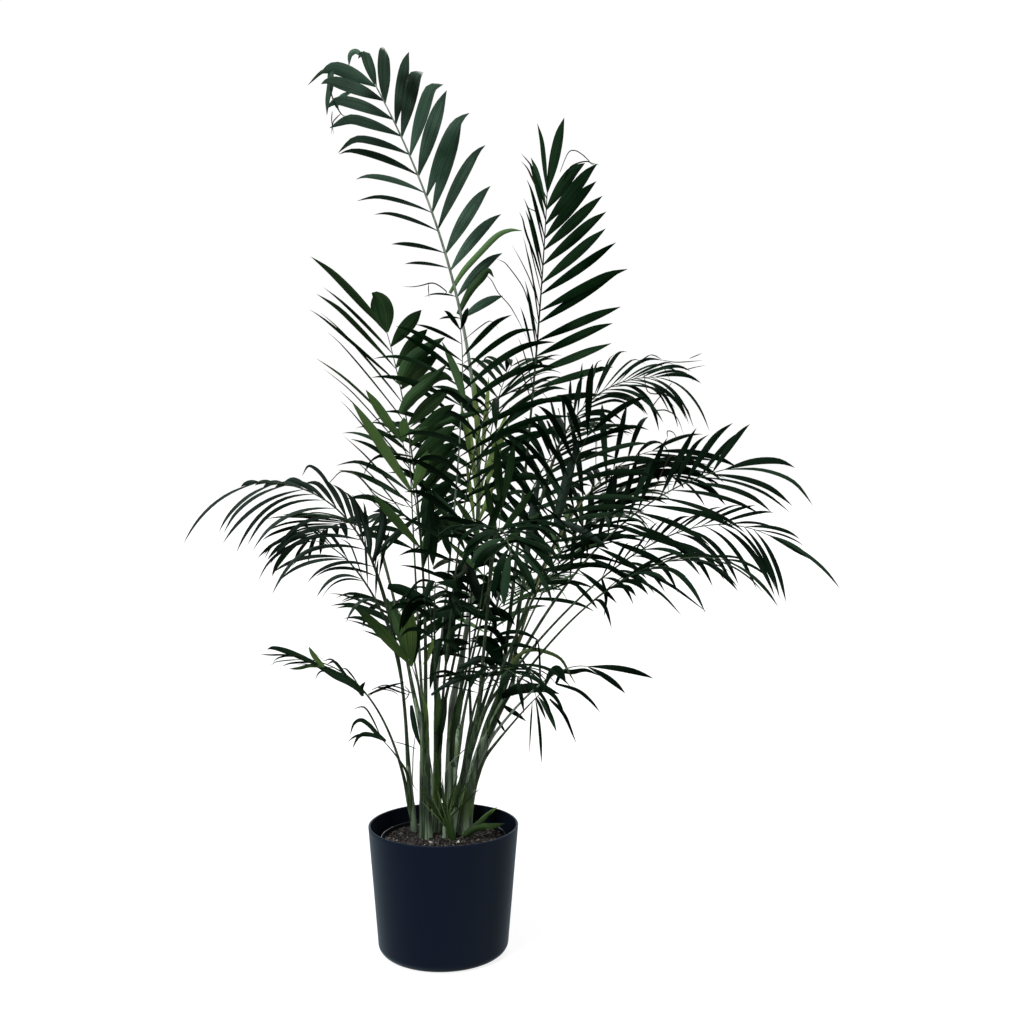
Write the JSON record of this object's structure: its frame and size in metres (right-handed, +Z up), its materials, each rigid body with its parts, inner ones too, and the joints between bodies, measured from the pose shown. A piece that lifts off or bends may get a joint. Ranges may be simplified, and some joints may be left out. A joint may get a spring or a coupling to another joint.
{
  "type": "potted cat palm",
  "caption": "Clustered feather palm with slender green stems and arching dark fronds of narrow leaflets, growing in potting mix inside a plain round tapered cover pot.",
  "frame": {"origin": "centre of the flat underside of the cover pot, on the surface it stands on", "axes": "+Z up through the plant, +X towards the side where the longest fronds arch out, +Y towards the back of the plant as pictured"},
  "size_m": [0.9559, 0.9167, 1.4439],
  "materials": {
    "pot": "smooth satin moulded plastic, dark navy",
    "grower_pot": "thin moulded plastic with a worn grey rim",
    "soil": "crumbly brown potting mix with a few white grains",
    "stem": "ribbed green leaf sheath, satin",
    "leaf": "dark green leaflet with a soft waxy sheen",
    "fresh_leaf": "fresh mid-green leaflet with a soft waxy sheen"
  },
  "bodies": {
    "root": {"cover_pot": "pot", "grower_pot": "grower_pot", "soil": "soil", "stem_left": "stem", "stem_broad": "stem", "stem_inner": "stem", "stem_slant": "stem", "stem_thick": "stem", "stem_centre": "stem", "stem_rear": "stem", "stem_rear_left": "stem", "stem_rear_right": "stem", "stem_back": "stem", "shoot": "stem", "seedling": "stem", "arm_left": "stem", "arm_right": "stem", "arm_rear_left": "stem", "arm_rear_right": "stem", "arm_front": "stem", "frond_tallest": "leaf", "frond_upper_right": "leaf", "frond_middle": "leaf", "frond_upper_left": "leaf", "frond_fresh": "fresh_leaf", "frond_left": "leaf", "frond_left_under": "leaf", "frond_left_low": "leaf", "frond_left_small": "leaf", "frond_forked": "fresh_leaf", "frond_right": "leaf", "frond_right_far": "leaf", "frond_right_low": "leaf", "frond_right_high": "leaf", "frond_right_inner": "leaf", "frond_right_small": "leaf", "frond_right_short": "leaf", "frond_inner_left": "leaf", "frond_inner_upright": "leaf", "frond_inner_right": "leaf", "frond_core_left": "leaf", "frond_core_right": "leaf", "frond_core_low": "leaf", "frond_front": "leaf", "frond_front_left": "leaf", "frond_front_low": "leaf", "frond_front_right": "leaf", "frond_front_high": "leaf", "frond_rear_left": "leaf", "frond_back_left": "leaf", "frond_back": "leaf", "frond_back_right": "leaf", "frond_rear_right": "leaf", "frond_back_low": "leaf", "frond_back_low_left": "leaf", "frond_back_low_right": "leaf", "leaf_of_shoot": "fresh_leaf", "leaf_of_seedling": "fresh_leaf"}
  },
  "joints": []
}
